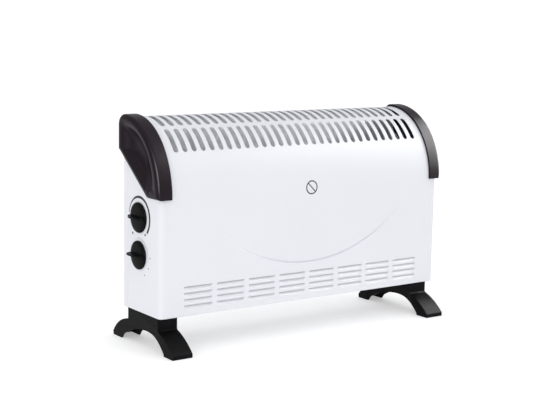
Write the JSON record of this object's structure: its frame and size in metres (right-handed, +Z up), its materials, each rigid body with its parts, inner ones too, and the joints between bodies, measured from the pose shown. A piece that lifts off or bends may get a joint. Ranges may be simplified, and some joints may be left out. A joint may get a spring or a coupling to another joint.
{
  "type": "fan convector heater",
  "caption": "Free-standing fan convector heater: curved slotted steel case, dark end caps with hand grips, two side knobs, two arched feet.",
  "frame": {"origin": "on the floor, under the middle of the whole object's bounding box", "axes": "+X along the width with the controls at the -X end, -Y towards the front, +Z up"},
  "size_m": [0.6144, 0.2004, 0.3845],
  "materials": {
    "white_enamel": "semi-gloss baked enamel",
    "plum_plastic": "satin moulded plastic",
    "black_plastic": "satin moulded plastic",
    "galvanised": "galvanised sheet",
    "zinc_screw": "zinc plated",
    "steel_shaft": "ground steel",
    "resistance_wire": "oxidised wire",
    "mica_board": "layered mica board",
    "ceramic": "unglazed steatite",
    "copper_coil": "varnished copper winding",
    "grey_nylon": "moulded nylon",
    "wire_jacket": "heat-resisting sleeve"
  },
  "bodies": {
    "housing": {"base_plate": "galvanised", "cap_screw_left": "zinc_screw", "cap_screw_right": "zinc_screw", "control_bracket": "galvanised", "cord_gland": "black_plastic", "cutout_strap": "galvanised", "element_end_left": "galvanised", "element_end_right": "galvanised", "element_rail_front": "galvanised", "element_rail_rear": "galvanised", "fan_plate": "galvanised", "fan_shroud": "galvanised", "foot_screw_1": "zinc_screw", "foot_screw_2": "zinc_screw", "foot_screw_3": "zinc_screw", "foot_screw_4": "zinc_screw", "front_heat_shield": "galvanised", "front_panel": "white_enamel", "heating_element_1": "resistance_wire", "heating_element_2": "resistance_wire", "left_end_cap": "plum_plastic", "left_foot": "black_plastic", "mica_board_1": "mica_board", "mica_board_2": "mica_board", "mica_board_3": "mica_board", "motor_bridge_bottom": "galvanised", "motor_bridge_top": "galvanised", "motor_coil": "copper_coil", "motor_core": "galvanised", "motor_post_1": "steel_shaft", "motor_post_2": "steel_shaft", "motor_yoke": "galvanised", "rear_heat_shield": "galvanised", "rear_panel": "white_enamel", "rear_screw_1": "zinc_screw", "rear_screw_2": "zinc_screw", "rear_screw_3": "zinc_screw", "rear_screw_4": "zinc_screw", "right_end_cap": "plum_plastic", "right_foot": "black_plastic", "selector_switch_body": "grey_nylon", "terminal_block": "ceramic", "thermal_cutout": "ceramic", "thermostat_body": "ceramic", "wire_selector_to_element": "wire_jacket", "wire_selector_to_motor": "wire_jacket", "wire_selector_to_thermostat": "wire_jacket", "wire_terminal_to_selector": "wire_jacket"},
    "thermostat_dial": {"thermostat_knob": "black_plastic", "thermostat_shaft": "steel_shaft"},
    "selector_dial": {"selector_knob": "black_plastic", "selector_shaft": "steel_shaft"},
    "fan_rotor": {"fan_shaft": "steel_shaft", "fan_impeller": "black_plastic", "motor_rotor": "steel_shaft"}
  },
  "joints": [
    {"name": "thermostat_turn", "type": "hinge", "parent": "housing", "child": "thermostat_dial", "pos_m": [-0.29175, 0.00095, 0.2185], "axis": [1, 0, 0], "range_deg": [-230, 60]},
    {"name": "selector_turn", "type": "hinge", "parent": "housing", "child": "selector_dial", "pos_m": [-0.29175, 0.00095, 0.156], "axis": [1, 0, 0], "range_deg": [0, 60]},
    {"name": "fan_spin", "type": "hinge", "parent": "housing", "child": "fan_rotor", "pos_m": [-0.05525, -0.00525, 0.075], "axis": [0, 0, 1], "continuous": true}
  ]
}
